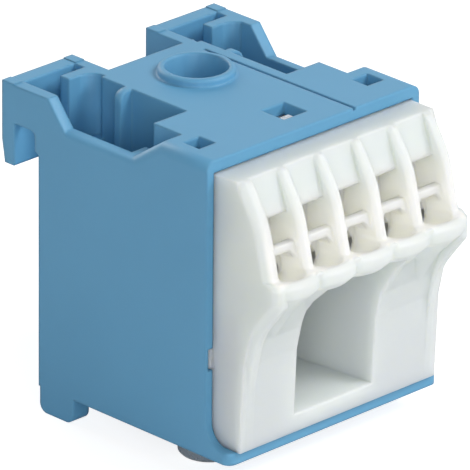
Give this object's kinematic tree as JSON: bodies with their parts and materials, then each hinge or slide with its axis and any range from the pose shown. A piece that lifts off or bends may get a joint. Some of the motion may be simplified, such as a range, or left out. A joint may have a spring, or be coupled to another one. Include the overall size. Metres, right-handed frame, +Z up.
{
  "type": "quick connect terminal block",
  "caption": "Light blue terminal block with rear hook arms, a white insert of push-in wire funnels above one large wire entry, and a top bore for the screw of an inner cage clamp.",
  "frame": {"origin": "centre of the footprint, on the plane that the rear feet and the base screws stand on", "axes": "+Z up, -Y out of the front with the funnels, +X to the right as seen from the front"},
  "size_m": [0.03, 0.039, 0.0356],
  "materials": {
    "housing_plastic": "moulded, light satin gloss",
    "insert_plastic": "moulded, satin",
    "busbar_copper": "tinned copper, satin",
    "spring_steel": "stamped stainless strip",
    "plated_steel": "zinc plated"
  },
  "bodies": {
    "block": {"housing": "housing_plastic", "front_insert": "insert_plastic", "busbar": "busbar_copper", "push_in_spring_1": "spring_steel", "push_in_spring_2": "spring_steel", "push_in_spring_3": "spring_steel", "push_in_spring_4": "spring_steel", "push_in_spring_5": "spring_steel", "base_screw_left": "plated_steel", "base_screw_right": "plated_steel"},
    "screw": {"clamp_screw": "plated_steel"},
    "cage": {"clamp_cage": "plated_steel"}
  },
  "joints": [
    {"name": "clamp_screw_turn", "type": "hinge", "parent": "block", "child": "screw", "pos_m": [0.0006, 0.00735, 0.03115], "axis": [0, 0, -1], "range_deg": [0, 3420]},
    {"name": "clamp_cage_rise", "type": "slide", "parent": "block", "child": "cage", "axis": [0, 0, 1], "range_m": [0, 0.0076]}
  ],
  "couplings": [
    {"joint": "clamp_screw_turn", "follows": "clamp_cage_rise", "rad_per_m": 7854}
  ]
}
